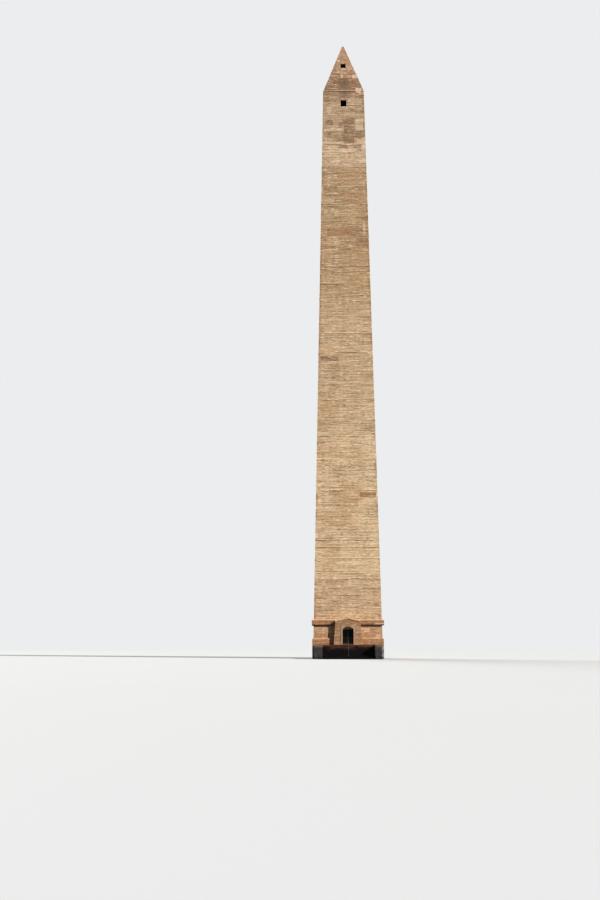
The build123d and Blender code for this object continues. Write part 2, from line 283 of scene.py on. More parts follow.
        # Damp creeps in from the arrises of the battered walls
        reach = HALF_AT_GROUND - z * BATTER - abs(along)
        rough = mix.clouds(z * 1.9 + 4.0, side + across.nearest(), 3.0)
        creep = (1.0 - (reach + dashes * 0.03).fade(0.004, 0.052)) * rough.fade(0.46, 0.58)
        colour = mix.blend(creep * 0.60, colour, tint(154, 108, 68))

    if shaded_seam is not None:
        # Painted shade darkens the open seam under the pyramid
        bright = bright - z.fade(shaded_seam - 0.002, shaded_seam + 0.001) * (0.80 + blotches * 0.5)

    if run_off:
        # Dark run-off below an opening
        top, middle, bottom, reach = run_off
        drips = (dashes + long_dashes + blotches + 0.5).fade(0.1, 0.7)
        drip = (1.0 - abs(along).fade(reach * 0.3, reach)) * z.fade(bottom, middle)
        drip = drip * (1.0 - z.fade(top - 0.10, top)) * drips
        colour = mix.blend(drip * 0.70, colour, tint(98, 80, 66))

    if shaded_inside:
        # Painted shade: faces inside the tower and the reveals of its openings are coloured near
        # black, as if in shade
        foot_half, lean = shaded_inside
        depth = foot_half - z * lean - abs(x).most(abs(y))
        colour = mix.blend(depth.fade(0.012, 0.022), colour, tint(22, 19, 18))

    if washed:
        # Painted sunlight: a pale strip beside the outer front corner, as if the sun reached it
        # there
        (start, end), front, tone = washed
        sunlit_band = x.fade(start, end) * (1.0 - y.fade(front + 0.02, front + 0.09))
        colour = mix.blend(sunlit_band * (dashes + spots + 0.5).fade(0.2, 0.7) * 0.85, colour, tone)

    # What is darker is browner too, where dirt has settled
    colour = mix.blend((1.0 - bright).fade(0.0, 0.5) * 0.40, colour, rusty)

    relief = (board * 0.4 - edge * 0.5) * boards + dashes * 0.8 + ridge_and_painted_highlight - joint_and_painted_shadow * 1.6 - holes * 2.6
    relief = relief + grain * 0.5 + gravel * 0.7 + mealy * 1.4 + spots * (0.5 + mottled)
    return mix.done(mix.lit(colour, bright), relief, 0.0014, 0.88 + blotches * 0.14)


def dress(finish, *names):
    """Gives CAD pieces that show as they are their finish."""
    for name in names:
        cad_part[name].data.materials[0] = finish


def stand(name, shape, finish, body="tower", node=None):
    """Makes a finished shape a piece of its own, in place of a CAD node or added to the body."""
    bmesh.ops.remove_doubles(shape, verts=shape.verts, dist=1e-6)
    bmesh.ops.recalc_face_normals(shape, faces=shape.faces)
    mesh = bpy.data.meshes.new(name)
    shape.to_mesh(mesh)
    shape.free()
    mesh.materials.append(finish)
    piece = bpy.data.objects.new(name, mesh)
    bpy.context.scene.collection.objects.link(piece)
    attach(piece, body)
    if node:
        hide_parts(node)


def on_mitre(verts):
    """Whether points lie together where a wall or band of one side meets that of the next."""
    corners = {(vert.co.x > 0, vert.co.y > 0) for vert in verts}
    return len(corners) == 1 and all(abs(abs(v.co.x) - abs(v.co.y)) < 0.0006 for v in verts)


def shape_of(node, poured_round=False):
    """The outline of a CAD piece with whole faces; poured_round joins its runs at the mitres."""
    shape = bmesh.new()
    shape.from_mesh(cad_part[node].data)
    bmesh.ops.remove_doubles(shape, verts=shape.verts, dist=1e-6)
    if poured_round:
        mitres = [face for face in shape.faces if on_mitre(face.verts)]
        bmesh.ops.delete(shape, geom=mitres, context="FACES")
        bmesh.ops.remove_doubles(shape, verts=shape.verts, dist=0.0006)
    flat = math.radians(1.0)
    bmesh.ops.dissolve_limit(shape, angle_limit=flat, verts=shape.verts, edges=shape.edges)
    return shape


def cut(shape, axis, level, **settings):
    """Cuts a shape right through, square to one axis."""
    across = Vector([1.0 if axis == a else 0.0 for a in range(3)])
    whole = shape.verts[:] + shape.edges[:] + shape.faces[:]
    settings.update({"plane_co": across * level, "plane_no": across})
    bmesh.ops.bisect_plane(shape, geom=whole, **settings)


# How deep the skin is rubbed, a board is set back, an arris is worn and a corner is broken off
RUBBED, SET_BACK, WORN, BROKEN = 0.0003, 0.0005, 0.0004, 0.0100


def weathered(shape, arris=0.0016, cell=0.024, chips=1.0, boards=1.0, mitred=False):
    """Softens the arrises of a cast shape, cuts it up finely, and wears and chips it."""
    sharp = [
        edge
        for edge in shape.edges
        if edge.is_manifold
        and edge.calc_face_angle() > 0.3
        and max(vert.co.z for vert in edge.verts) > 0.001
        and not (mitred and on_mitre(edge.verts))
    ]
    bmesh.ops.bevel(
        shape, geom=sharp, offset=arris, segments=2, profile=0.6, affect="EDGES",
        clamp_overlap=True,
    )
    for axis, spacing, split in ((0, cell, 0.0), (1, cell, 0.0), (2, BOARD, BOARD_EDGE)):
        reach = [vert.co[axis] for vert in shape.verts]
        low, high = min(reach) + arris + 0.001, max(reach) - arris - 0.001
        for number in range(int(low / spacing) - 1, int(high / spacing) + 2):
            for level in sorted({number * spacing - split, number * spacing + split}):
                if low < level < high:
                    cut(shape, axis, level, dist=1e-5)
    bmesh.ops.triangulate(shape, faces=[face for face in shape.faces if len(face.verts) > 4])
    shape.normal_update()
    moves = []
    for vert in shape.verts:
        at, out = vert.co, vert.normal.copy()
        if mitred and on_mitre([vert]):
            out = Vector((math.copysign(0.7, at.x), math.copysign(0.7, at.y), 0.0))
        if at.z < 0.001:
            out.z = 0.0
        loss = RUBBED * (1.0 + noise.noise(at * 90.0))
        if abs(out.z) < 0.5:
            row = math.floor(at.z / BOARD)
            along = at.x if abs(out.y) > abs(out.x) else at.y
            stagger = 9.0 * noise.cell(Vector((row + 0.5, 3.5, 0.5)))
            butt = math.floor(along / BOARD_LENGTH + stagger)
            set_in = noise.cell(Vector((row + 0.5, butt + 0.5, round(out.x) + 0.5)))
            loss += boards * SET_BACK * (1.0 + set_in)
        normals = [face.normal for face in vert.link_faces]
        if min((one.dot(other) for one in normals for other in normals), default=1.0) < 0.93:
            broken = noise.noise(at * 24.0 + Vector((5.0, 1.0, 9.0)))
            broken += 0.5 * noise.noise(at * 71.0)
            loss += chips * (WORN + BROKEN * max(0.0, broken - 0.22))
        moves.append((vert, out * -loss))
    for vert, move in moves:
        vert.co += move
    return shape


def cast_piece(name, node, finish, slot, poured_round=False, **wear):
    """A CAD piece as it came out of its boards, and as the weather has left it."""
    stand(name, weathered(shape_of(node, poured_round), **wear), finish, node=node)


foundation_finish = cast_concrete(
    "board_marked_foundation",
    [(0, 0, 132, 110, 88), (0.06, 0.18, 168, 137, 107)],
    lifts=0.6, uneven=0.7, ragged=0.06, limy=tint(196, 176, 148),
)
cast_piece(
    "foundation_block", "foundation", foundation_finish, "foundation_concrete", arris=0.002
)


# Landing and steps. The landing is cast against the foundation, and each step is a row of dark
# stone blocks bedded on the row below, with a rounded nosing worn down by feet.
def stair_stone(name):
    mix = Finish(name, specular=0.06)
    (x, y, z), (_, _, nz) = mix.place()
    specks = mix.clouds(x * 260.0, (y + z) * 260.0, 3.0, 0.8) - 0.5
    patches = mix.clouds(x * 9.0, (y + z * 3.0) * 9.0, 4.0) - 0.5
    # Painted sunlight: the upper steps turn brown in patches (the dust mask), and the landing's
    # front face paler still; below, the near black is partly the stone's own dark colour and
    # partly painted shade
    dust = mix.clouds(x * 5.0 + 5.0, z * 16.0, 4.0).fade(0.30, 0.58)
    block = mix.chance((x / 0.19).whole(), (z / 0.0164).whole()) - 0.5
    colour = mix.blend(z.fade(0.120, 0.205) * dust, tint(5, 4, 9), tint(84, 57, 42))
    colour = mix.blend(z.fade(0.200, 0.212), colour, tint(114, 74, 50))
    colour = mix.blend(nz.fade(0.4, 0.8) * (0.36 + patches), colour, tint(66, 54, 48))
    bright = 1.0 + specks * 0.7 + patches * 0.8 + block * 0.25
    return mix.done(mix.lit(colour, bright), specks, 0.0006, 0.72 + patches * 0.2)


stair_finish = stair_stone("dark_stair_stone")
cast_piece("landing_slab", "landing", stair_finish, "step_concrete", arris=0.002, boards=0.0)

RISERS = 13
RISER = SILL / RISERS
stair_low, stair_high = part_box("stair_steps")
TREAD = (stair_high.y - stair_low.y + 0.0004) / (RISERS - 1)
BLOCK_LENGTHS, SHORTEST_BLOCK, BLOCK_JOINT, NOSING = (0.155, 0.225), 0.08, 0.0006, 0.003
TRODDEN_LINE, TRODDEN_WIDTH, TRODDEN_DEPTH = 0.19, 0.11, 0.0011


def edges_at(verts):
    """Every edge that ends at one of the points, once each."""
    return list(dict.fromkeys(edge for vert in verts for edge in vert.link_edges))


def add_block(shape, low, high, arris=0.0012, nosing=0.0):
    """One squared block between two corners, with a rounded front edge if it has a nosing."""
    made = bmesh.ops.create_cube(shape, size=1.0)["verts"]
    for vert in made:
        vert.co = [high[axis] if vert.co[axis] > 0 else low[axis] for axis in range(3)]
    edges = edges_at(made)
    if nosing:
        front = [
            edge
            for edge in edges
            if all(v.co.y < low[1] + 1e-6 and v.co.z > high[2] - 1e-6 for v in edge.verts)
        ]
        rounded = bmesh.ops.bevel(
            shape, geom=front, offset=nosing, segments=4, profile=0.5, affect="EDGES"
        )
        edges = edges_at(vert for face in rounded["faces"] for vert in face.verts)
        edges = [edge for edge in edges if edge.is_manifold and edge.calc_face_angle() > 0.8]
    bmesh.ops.bevel(
        shape, geom=edges, offset=arris, segments=1, affect="EDGES", clamp_overlap=True
    )


steps, chance = bmesh.new(), random.Random("steps")
for step in range(1, RISERS):
    left, front = stair_low.x, stair_low.y + (step - 1) * TREAD
    back, bottom = min(front + 1.9 * TREAD, stair_high.y), max(0.0, (step - 1) * RISER - 0.0002)
    while left < stair_high.x - 0.01:
        right = min(stair_high.x, left + chance.uniform(*BLOCK_LENGTHS))
        if stair_high.x - right < SHORTEST_BLOCK:
            right = stair_high.x
        set_back = chance.uniform(0.0, 0.0008)
        low = (left + BLOCK_JOINT, front + set_back, bottom)
        high = (right - BLOCK_JOINT, back, step * RISER - set_back)
        add_block(steps, low, high, nosing=NOSING)
        left = right
for number in range(-33, 34):
    cut(steps, 0, number * 0.012)
for vert in steps.verts:
    at = vert.co
    walked = math.exp(-(((abs(at.x) - TRODDEN_LINE) / TRODDEN_WIDTH) ** 2))
    if at.z > 0.004:
        at.z -= TRODDEN_DEPTH * walked + 0.0003 * (1.0 + noise.noise(at * 60.0))
    at.y += 0.0005 * abs(noise.noise(at * 45.0))
    at.y += 0.0030 * max(0.0, noise.noise(at * 26.0) - 0.42)
stand("stair_blocks", steps, stair_finish, node="stair_steps")


# Cheek walls. Two flat-topped walls hold the stair between them, cast against the foundation
# and level with the landing; their faces are coloured dark grey as painted shade, darkest at the
# foot, with a tan band of painted sunlight along the top.
cheek_shade_and_sunlight_tones = [(0, 0, 41, 39, 41), (0.020, 0.060, 63, 60, 61), (0.158, 0.204, 140, 108, 84)]
right_low, right_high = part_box("right_cheek_wall")
# A pale strip of painted sunlight beside the right wall's outer front corner
sunlit_strip = ((right_high.x - 0.034, right_high.x - 0.020), right_low.y, tint(164, 156, 154))
for hand, washed in (("left", None), ("right", sunlit_strip)):
    finish = cast_concrete(
        "%s_cheek_concrete" % hand, cheek_shade_and_sunlight_tones,
        uneven=0.5, lifts=0.4, boards=0.5, mottled=0.35, ragged=0.09,
        rusty=tint(50, 47, 50), limy=tint(96, 92, 93), washed=washed,
    )
    block, wall = "%s_cheek_block" % hand, "%s_cheek_wall" % hand
    cast_piece(block, wall, finish, "cheek_concrete", arris=0.0024)


# Handrail. One steel tube up the middle of the stair on three posts, painted grey and rubbed
# along its top by hands. Each post is bolted down through a round flange and has a collar
# under the tube, and the tube's two ends are closed by domed caps.
def painted_metal(name, paint, bare, worn, roughness=0.5, metallic=0.0, fine=1.0):
    mix = Finish(name, roughness, 0.12, metallic)
    (x, y, z), (_, _, nz) = mix.place()
    brushed = mix.clouds((x + y) * 90.0 * fine, z * 90.0 * fine, 5.0, 0.75) - 0.5
    blots = mix.clouds((x + y) * 22.0 * fine, z * 22.0 * fine, 4.0) - 0.5
    rub = (blots + brushed * 0.6 + nz * 0.18).fade(0.10, 0.26) * worn
    colour = mix.lit(mix.blend(rub, paint, bare), 1.0 + brushed * 0.5 + blots * 0.4)
    return mix.done(colour, brushed, 0.0003, roughness + blots * 0.3)


def skin(shape, rings, closed=False):
    """Faces between each ring of points and the next; a closed run of rings ends at its start."""
    following = rings[1:] + rings[:1] if closed else rings[1:]
    for low, high in zip(rings, following):
        for index in range(len(low)):
            beside = (index + 1) % len(low)
            shape.faces.new((low[index], low[beside], high[beside], high[index]))


def turned(shape, foot, head, profile, sides=20):
    """A round solid on the line from foot to head; its profile is (share of the line, radius)."""
    foot, head = Vector(foot), Vector(head)
    axis = (head - foot).normalized()
    first = axis.orthogonal().normalized()
    second = axis.cross(first)
    turns = [2 * math.pi * index / sides for index in range(sides)]
    rings = []
    for share, radius in profile:
        spokes = [(first * math.cos(turn) + second * math.sin(turn)) * radius for turn in turns]
        rings.append([shape.verts.new(foot.lerp(head, share) + spoke) for spoke in spokes])
    skin(shape, rings)
    shape.faces.new(rings[0])
    shape.faces.new(rings[-1])


rail_finish = painted_metal("rail_paint", tint(64, 62, 58), tint(104, 96, 86), 0.35, fine=2.0)
dress(rail_finish, "handrail")
RAIL_HEIGHT, POST_STEPS, BOLT_CIRCLE = 0.096, (3, 8, RISERS), 0.0068
FLANGE = [
    (0.0, 0.0088), (0.55, 0.0088), (0.8, 0.0080), (0.8, 0.0048), (1.0, 0.0044), (1.0, 0.0029)
]
BOLT = [(0.0, 0.0011), (0.8, 0.0011), (1.0, 0.0008)]
COLLAR = [(0.0, 0.0030), (0.15, 0.0040), (0.6, 0.0040), (1.0, 0.0031)]
END_CAP = [(0.0, 0.0018), (0.12, 0.0031), (0.35, 0.0039), (0.85, 0.0041), (1.0, 0.0037)]
fittings = bmesh.new()
for step in POST_STEPS:
    y, z = stair_low.y + (step - 0.5) * TREAD, step * RISER
    turned(fittings, (0, y, z - 0.0008), (0, y, z + 0.0030), FLANGE, 24)
    for quarter in range(4):
        turn = math.radians(45 + 90 * quarter)
        across, along = BOLT_CIRCLE * math.cos(turn), BOLT_CIRCLE * math.sin(turn)
        at = Vector((across, y + along, z + 0.0010))
        turned(fittings, at, at + Vector((0, 0, 0.0018)), BOLT, 6)
    top = z + RAIL_HEIGHT
    turned(fittings, (0, y, top - 0.0110), (0, y, top - 0.0020), COLLAR)
rail_low, rail_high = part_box("handrail")
for y, step, out in ((rail_low.y, POST_STEPS[0], 1.0), (rail_high.y, POST_STEPS[-1], -1.0)):
    z = step * RISER + RAIL_HEIGHT
    turned(fittings, (0, y + 0.0001 * out, z), (0, y + 0.0060 * out, z), END_CAP)
stand("rail_fittings", fittings, rail_finish)


# Base course. A heavy band of concrete, poured in one run round the foot of the walls on the
# foundation, and sloped on top to shed the rain.
# Painted highlight: the sloped top edge is coloured paler than the face
base_finish = cast_concrete(
    "base_course_concrete",
    [(0, 0, 160, 117, 84), (0.240, 0.275, 173, 130, 96), (0.290, 0.305, 196, 154, 116)],
    uneven=0.5, mottled=0.5, lifts=0.3, ragged=0.03, limy=tint(210, 176, 140),
)
band_wear = {"poured_round": True, "arris": 0.003, "chips": 1.3}
cast_piece("base_course_band", "base_course", base_finish, "base_concrete", **band_wear)


# Plinth walls. The foot of the tower's own hollow walls, between the base course and the
# cornice, cast in large panels and rubbed smoother than the shaft above.
# Painted shadow: the walls' top band, under the cornice, is coloured darker
plinth_finish = cast_concrete(
    "plinth_concrete",
    [(0, 0, 180, 138, 101), (0.35, 0.48, 195, 153, 116), (0.492, 0.516, 124, 84, 54)],
    uneven=0.45, mottled=0.6, lifts=0.3, boards=0.4, shaded_inside=(HALF_AT_GROUND, BATTER),
)
for part in ("front_left", "front_right", "left", "right", "back"):
    name, node = "%s_plinth_wall" % part, "plinth_" + part
    cast_piece(name, node, plinth_finish, "plinth_concrete", boards=0.5, mitred=True)
dress(plinth_finish, "plinth_lintel")


# Cornice. A square band with a sloping top, poured in one run on the plinth; a painted highlight
# runs along its top edge and a painted shadow along its foot.
cornice_finish = cast_concrete(
    "cornice_concrete",
    [(0, 0, 84, 52, 32), (0.519, 0.532, 164, 120, 85), (0.578, 0.592, 222, 182, 142)],
    uneven=0.6, mottled=0.6, lifts=0.2, limy=tint(206, 170, 132),
)
cast_piece("cornice_band", "cornice", cornice_finish, "cornice_concrete", **band_wear)


# Entrance bay. Jambs and gable of smooth concrete cast against the battered front, with a
# raking coping over them that stands a little proud and is coloured paler as a painted highlight.
# A pale surround lines the arched opening, over a sill coloured darker as painted shade.
bay_finish = cast_concrete(
    "bay_concrete",
    [(0, 0, 184, 144, 108), (0.232, 0.270, 164, 125, 91), (0.45, 0.62, 155, 118, 86)],
    uneven=0.35, mottled=0.6, lifts=0.2, boards=0.4,
)
for part in ("left_jamb", "right_jamb", "gable"):
    wear = {"arris": 0.0012, "cell": 0.015, "boards": 0.5}
    cast_piece("entrance_" + part, "bay_" + part, bay_finish, "bay_concrete", **wear)
# Painted highlight: the coping is coloured paler than the jambs
coping_finish = cast_concrete(
    "coping_concrete", [(0, 0, 212, 174, 136)],
    uneven=0.3, mottled=0.6, lifts=0.0, boards=0.2,
)
surround_finish = cast_concrete(
    "surround_concrete", [(0, 0, 180, 148, 116)],
    uneven=0.3, mottled=0.4, lifts=0.0, boards=0.0,
)
# Painted shade: the sill is coloured darker, as in the doors' shadow
sill_finish = cast_concrete(
    "sill_in_painted_shade", [(0, 0, 114, 86, 66)], uneven=0.5, lifts=0.0, boards=0.0
)
for name, node, finish, slot, arris, cell, chips in (
    ("raking_coping", "gable_coping", coping_finish, "coping_concrete", 0.002, 0.012, 1.0),
    ("arched_surround", "door_surround", surround_finish, "surround_concrete", 0.0015, 0.015, 0.6),
    ("door_sill", "threshold", sill_finish, "surround_concrete", 0.0010, 0.012, 0.5),
):
    cast_piece(name, node, finish, slot, arris=arris, cell=cell, chips=chips, boards=0.0)


# Transom and doors. A pair of glazed steel leaves, coloured almost black, partly a dark paint and
# partly painted shade of the recess, turn on pivots under a solid arched panel in a brown paint.
# Beads are pinned round the glass and the panels, and each leaf has a pull, a push plate and a
# guard plate that is screwed on at its foot.
BEAD = ((0, 0), (0.05, 0.7), (0.3, 1.0), (0.7, 0.9), (1.0, 0.25), (1.0, 0))


def add_frame(shape, outline, outward, width, proud):
    """A bead inside a closed flat outline, mitred at the corners, with its back on the plane."""
    middle = sum(outline, Vector()) / len(outline)
    rings = []
    for index, corner in enumerate(outline):
        before = (corner - outline[index - 1]).normalized()
        after = (outline[(index + 1) % len(outline)] - corner).normalized()
        inward = (after - before).normalized()
        if inward.length < 0.5:
            inward = before.cross(outward).normalized()
        if inward.dot(middle - corner) < 0:
            inward = -inward
        slant = width / max(0.3, abs(inward.cross(after).length))
        rings.append(
            [
                shape.verts.new(corner + inward * slant * across + outward * proud * up)
                for across, up in BEAD
            ]
        )
    skin(shape, rings, closed=True)


bronze = painted_metal("transom_paint", tint(186, 142, 108), tint(196, 156, 124), 0.6)
dress(bronze, "transom")
transom_low, transom_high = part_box("transom")
half, rise = transom_high.x, transom_high.z - transom_low.z
radius = (half * half + rise * rise) / (2 * rise)
swing, centre, face_y = math.asin(half / radius), transom_high.z - radius, transom_low.y
arch = []
for index in range(25):
    turn = swing * (1 - 2 * index / 24)
    arch.append(Vector((radius * math.sin(turn), face_y, centre + radius * math.cos(turn))))
moulding = bmesh.new()
add_frame(moulding, arch, Vector((0, -1, 0)), 0.0060, 0.0026)
UPRIGHTS, HALF_UPRIGHT = (-0.036, 0.0, 0.036), 0.0016
for x in UPRIGHTS:
    top = centre + math.sqrt(radius * radius - x * x) - 0.005
    low = (x - HALF_UPRIGHT, face_y - 0.0018, transom_low.z + 0.004)
    add_block(moulding, low, (x + HALF_UPRIGHT, face_y, top), 0.0005)
stand("transom_moulding", moulding, bronze)


def dark_glass(name):
    """Near-black glass with a thin film of dust; the near black is painted shade of the unlit hall
    behind.
    """
    mix = Finish(name, 0.08, 0.04)
    (x, _, z), _ = mix.place()
    film = (mix.clouds(x * 30.0, z * 30.0, 4.0) - 0.5).fade(0.0, 0.3)
    colour = mix.blend(film * 0.5, tint(4, 5, 9), tint(14, 14, 17))
    return mix.done(colour, roughness=0.07 + film * 0.12)


# The door paint is near black partly as painted shade of the recess
door_paint = painted_metal("door_paint", tint(4, 4, 6), tint(24, 23, 22), 0.35, 0.5)
worn_steel = painted_metal(
    "worn_steel", tint(56, 54, 50), tint(132, 124, 110), 0.7, 0.42, metallic=0.7, fine=3.0
)
dress(dark_glass("dark_glass"), "left_door_glass", "right_door_glass")
dress(door_paint, "left_door", "right_door")


def rectangle(left, right, y, bottom, top):
    corners = ((left, bottom), (right, bottom), (right, top), (left, top))
    return [Vector((x, y, z)) for x, z in corners]


# The width of each bead and how far it stands proud, and where the lower panel lies
GLASS_BEAD, PANEL_BEAD = (0.0022, 0.0016), (0.0030, 0.0012)
PANEL_SUNK, PANEL_FOOT, PANEL_HEAD = 0.0015, 0.0257, 0.0143
# The pull and its studs, the push plate inside and the lock, by their heights
PULL, STUDS, PUSH_PLATE, LOCK_HEIGHT = (0.2990, 0.3630), (0.3060, 0.3560), (0.3120, 0.3520), 0.2900
GRIP_FROM_EDGE, PIVOT_FROM_HEEL, GUARD_PLATE = 0.0050, 0.0030, (0.0030, 0.0215)
STUD = [(0.0, 0.0021), (0.12, 0.0021), (0.16, 0.0011), (1.0, 0.0011)]
BAR = [
    (0.0, 0.0008), (0.02, 0.0014), (0.06, 0.0016), (0.94, 0.0016), (0.98, 0.0014), (1.0, 0.0008)
]
LOCK = [(0.0, 0.0024), (0.4, 0.0024), (0.5, 0.0013), (1.0, 0.0012)]
SCREW = [(0, 0.0007), (0.5, 0.0006), (1.0, 0.0002)]
PIVOT_CAP = [(0.0, 0.0029), (0.1, 0.0032), (0.9, 0.0032), (1.0, 0.0029)]
for hand, body in ((-1, "left_door"), (1, "right_door")):
    low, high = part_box(body)
    pane_low, pane_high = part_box(body + "_glass")
    left, right = pane_low.x, pane_high.x
    meeting, heel = sorted((abs(low.x), abs(high.x)))
    beads = bmesh.new()
    for y, out in ((pane_low.y, -1), (pane_high.y, 1)):
        opening = rectangle(left, right, y, pane_low.z, pane_high.z)
        add_frame(beads, opening, Vector((0, out, 0)), *GLASS_BEAD)
    for y, out in ((low.y + PANEL_SUNK, -1), (high.y - PANEL_SUNK, 1)):
        panel = rectangle(left, right, y, low.z + PANEL_FOOT, pane_low.z - PANEL_HEAD)
        add_frame(beads, panel, Vector((0, out, 0)), *PANEL_BEAD)
    stand(body + "_beads", beads, door_paint, body)

    metal = bmesh.new()
    grip, front = hand * (meeting + GRIP_FROM_EDGE), low.y
    for z in STUDS:
        turned(metal, (grip, front + 0.0002, z), (grip, front - 0.0058, z), STUD, 12)
    turned(metal, (grip, front - 0.0062, PULL[0]), (grip, front - 0.0062, PULL[1]), BAR, 14)
    plate_low = (grip - 0.0030, high.y - 0.0002, PUSH_PLATE[0])
    add_block(metal, plate_low, (grip + 0.0030, high.y + 0.0007, PUSH_PLATE[1]), 0.0003)
    if hand == 1:
        lock_in = (grip, front + 0.0002, LOCK_HEIGHT)
        turned(metal, lock_in, (grip, front - 0.0018, LOCK_HEIGHT), LOCK, 16)
    bottom, top = (low.z + height for height in GUARD_PLATE)
    inner, outer = hand * (meeting + 0.0025), hand * (heel - 0.0060)
    guard_low = (min(inner, outer), front - 0.0005, bottom)
    add_block(metal, guard_low, (max(inner, outer), front + 0.0002, top), 0.0002)
    for share in (0.03, 0.27, 0.50, 0.73, 0.97):
        for z in (bottom + 0.0015, top - 0.0015):
            at = Vector((inner + (outer - inner) * share, front - 0.0003, z))
            turned(metal, at, at - Vector((0, 0.0007, 0)), SCREW, 10)
    x, y = hand * (heel - PIVOT_FROM_HEEL), (low.y + high.y) / 2
    for foot, head in ((low.z + 0.0017, low.z + 0.0065), (high.z - 0.0065, high.z - 0.0017)):
        turned(metal, (x, y, foot), (x, y, head), PIVOT_CAP, 24)
    stand(body + "_furniture", metal, worn_steel, body)


# Floors. Plain slabs of trowelled concrete between the walls, one at the entrance and one under
# each of the two rows of windows, where no rain or sun reaches them.
floor_finish = cast_concrete("floor_concrete", [(0, 0, 92, 84, 76)], uneven=0.5, lifts=0.0)
dress(floor_finish, "entrance_floor", "viewing_floor", "upper_floor")


# Shaft walls. Four battered walls of concrete, cast in lifts behind rough boards 180 mm deep,
# whose steps, butts and broken corners are left in the surface. The top stage above the cold
# joint was cast later, with a square window in each wall.
SIDES = ("front", "right", "back", "left")
SHAFT_FOOT, COLD_JOINT, TIP, HALF_AT_TIP = 0.603, 8.230, 10.700, 0.003
PYRAMID_BATTER = (HALF_AT_TOP - HALF_AT_TIP) / (TIP - SHAFT_TOP)
INNER_AT_TOP, INNER_BATTER = 0.2905, 0.003753


def wall_half(level):
    """From the tower's axis to the face of its wall or of its pyramid."""
    if level <= SHAFT_TOP:
        return HALF_AT_GROUND - BATTER * level
    return HALF_AT_TOP - PYRAMID_BATTER * (level - SHAFT_TOP)


def room_half(level):
    """From the tower's axis to the inner face of its wall or of its pyramid."""
    if level <= SHAFT_TOP:
        return INNER_AT_TOP + INNER_BATTER * (SHAFT_TOP - level)
    return INNER_AT_TOP - PYRAMID_BATTER * (level - SHAFT_TOP)


def on_side(side, along, out, level):
    """A point of one side: so far along it from its middle, so far out from the axis."""
    turn = math.radians(90 * side)
    return (
        along * math.cos(turn) + out * math.sin(turn),
        along * math.sin(turn) - out * math.cos(turn),
        level,
    )


broken_corners = {}


def corner_loss(corner, joint):
    """How much of an arris is lost where two boards met; walls that meet there share it."""
    if (corner, joint) not in broken_corners:
        chance = random.Random(corner * 7919 + joint)
        loss = chance.uniform(0.0008, 0.0024)
        if chance.random() < 0.12:
            loss += chance.uniform(0.001, 0.007)
        broken_corners[corner, joint] = loss
    return broken_corners[corner, joint]


# How far a row strays up or down, a board bulges, and one lift is set back from another
ROW_STRAY, BULGE, LIFT_STEP = 0.0032, 0.0008, 0.0009


